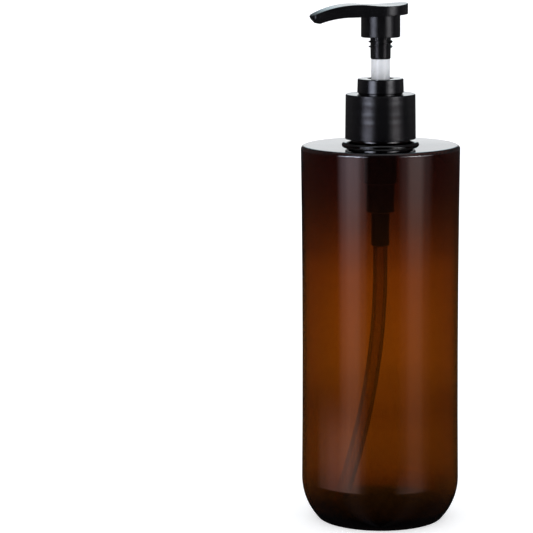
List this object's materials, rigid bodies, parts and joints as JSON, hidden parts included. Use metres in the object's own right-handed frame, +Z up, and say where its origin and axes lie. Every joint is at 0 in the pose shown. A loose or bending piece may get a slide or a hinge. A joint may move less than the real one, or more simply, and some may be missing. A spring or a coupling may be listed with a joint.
{
  "type": "pump oil bottle",
  "caption": "Round amber bottle with a flat shoulder and a lock-down pump: screw cap, lock ring, teardrop head with a nozzle, and the spring pump and dip tube inside.",
  "frame": {"origin": "centre of the bottle's base, on the surface that it stands on", "axes": "+Z up along the bottle's axis; the nozzle points along -X; the part is mirror-symmetric about the XZ plane apart from its right-hand threads"},
  "size_m": [0.068, 0.068, 0.2231],
  "materials": {
    "amber_pet": "clear amber PET, polished",
    "black_cap": "smooth black polypropylene, soft gloss",
    "gasket": "white foamed polyethylene, matte",
    "black_lock_ring": "smooth black polypropylene, soft gloss",
    "natural_guide": "natural polyethylene, satin",
    "black_housing": "black polypropylene, satin",
    "black_head": "smooth black polypropylene, gloss",
    "white_stem": "white polypropylene, satin",
    "white_rod": "white polypropylene, satin",
    "natural_seal": "natural low-density polyethylene, satin",
    "spring_steel": "drawn stainless wire",
    "natural_retainer": "natural polypropylene, satin",
    "ball_steel": "polished stainless ball",
    "natural_tube": "natural polyethylene tube, translucent"
  },
  "bodies": {
    "bottle": {"bottle": "amber_pet"},
    "pump": {"pump_housing": "black_housing", "neck_gasket": "gasket", "chaplet": "black_lock_ring", "stem_guide": "natural_guide", "ball_retainer": "natural_retainer", "return_spring": "spring_steel", "dip_tube": "natural_tube"},
    "closure": {"closure": "black_cap"},
    "plunger": {"piston_rod": "white_rod"},
    "head": {"actuator_head": "black_head", "stem": "white_stem"},
    "piston": {"piston": "natural_seal"},
    "ball": {"check_ball": "ball_steel"}
  },
  "joints": [
    {"name": "pump_lift", "type": "slide", "parent": "bottle", "child": "pump", "axis": [0, 0, 1], "range_m": [0, 0.0064]},
    {"name": "closure_turn", "type": "hinge", "parent": "pump", "child": "closure", "pos_m": [0, 0, 0.18265], "axis": [0, 0, 1], "range_deg": [0, 540]},
    {"name": "pump_stroke", "type": "slide", "parent": "pump", "child": "plunger", "axis": [0, 0, 1], "range_m": [-0.0172, 0], "stiffness_N_per_m": 700, "springref_m": 0.01, "deforming": ["return_spring"]},
    {"name": "head_turn", "type": "hinge", "parent": "plunger", "child": "head", "pos_m": [0, 0, 0.19935], "axis": [0, 0, 1], "continuous": true},
    {"name": "piston_float", "type": "slide", "parent": "plunger", "child": "piston", "axis": [0, 0, 1], "range_m": [0, 0.0011]},
    {"name": "ball_lift", "type": "slide", "parent": "pump", "child": "ball", "axis": [0, 0, 1], "range_m": [0, 0.0011]}
  ],
  "couplings": [
    {"joint": "pump_lift", "follows": "closure_turn", "m_per_rad": 0.00067375}
  ]
}
